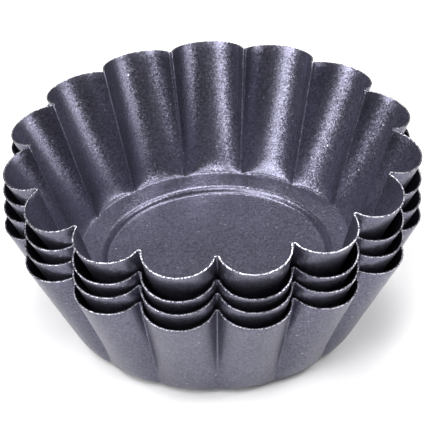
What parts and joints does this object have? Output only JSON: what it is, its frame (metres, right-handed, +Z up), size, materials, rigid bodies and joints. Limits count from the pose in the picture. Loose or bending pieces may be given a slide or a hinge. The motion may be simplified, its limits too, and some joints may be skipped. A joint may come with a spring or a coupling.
{
  "type": "fluted tart pan stack",
  "caption": "Nested stack of identical small round tart pans, pressed from thin dark coated steel, with deep fluted flaring walls, a scalloped cut rim and a sunken round floor.",
  "frame": {"origin": "middle of the underside of the lowest pan's sunken floor disc, on the surface it stands on", "axes": "+Z up along the stack, -Y through a pleat of the lowest pan, so that +Y goes through the middle of a lobe"},
  "size_m": [0.0997, 0.0995, 0.0492],
  "materials": {
    "coated_steel": "satin dark grey non-stick coating with a fine pale fleck on pressed carbon steel, bare cut edge at the rim"
  },
  "bodies": {
    "bottom_pan": {"bottom_pan": "coated_steel"},
    "second_pan": {"second_pan": "coated_steel"},
    "third_pan": {"third_pan": "coated_steel"},
    "top_pan": {"top_pan": "coated_steel"}
  },
  "joints": [
    {"name": "second_pan_lift", "type": "slide", "parent": "bottom_pan", "child": "second_pan", "axis": [0, 0, 1], "range_m": [0, 0.035]},
    {"name": "third_pan_lift", "type": "slide", "parent": "second_pan", "child": "third_pan", "axis": [0, 0, 1], "range_m": [0, 0.035]},
    {"name": "top_pan_lift", "type": "slide", "parent": "third_pan", "child": "top_pan", "axis": [0, 0, 1], "range_m": [0, 0.035]}
  ]
}
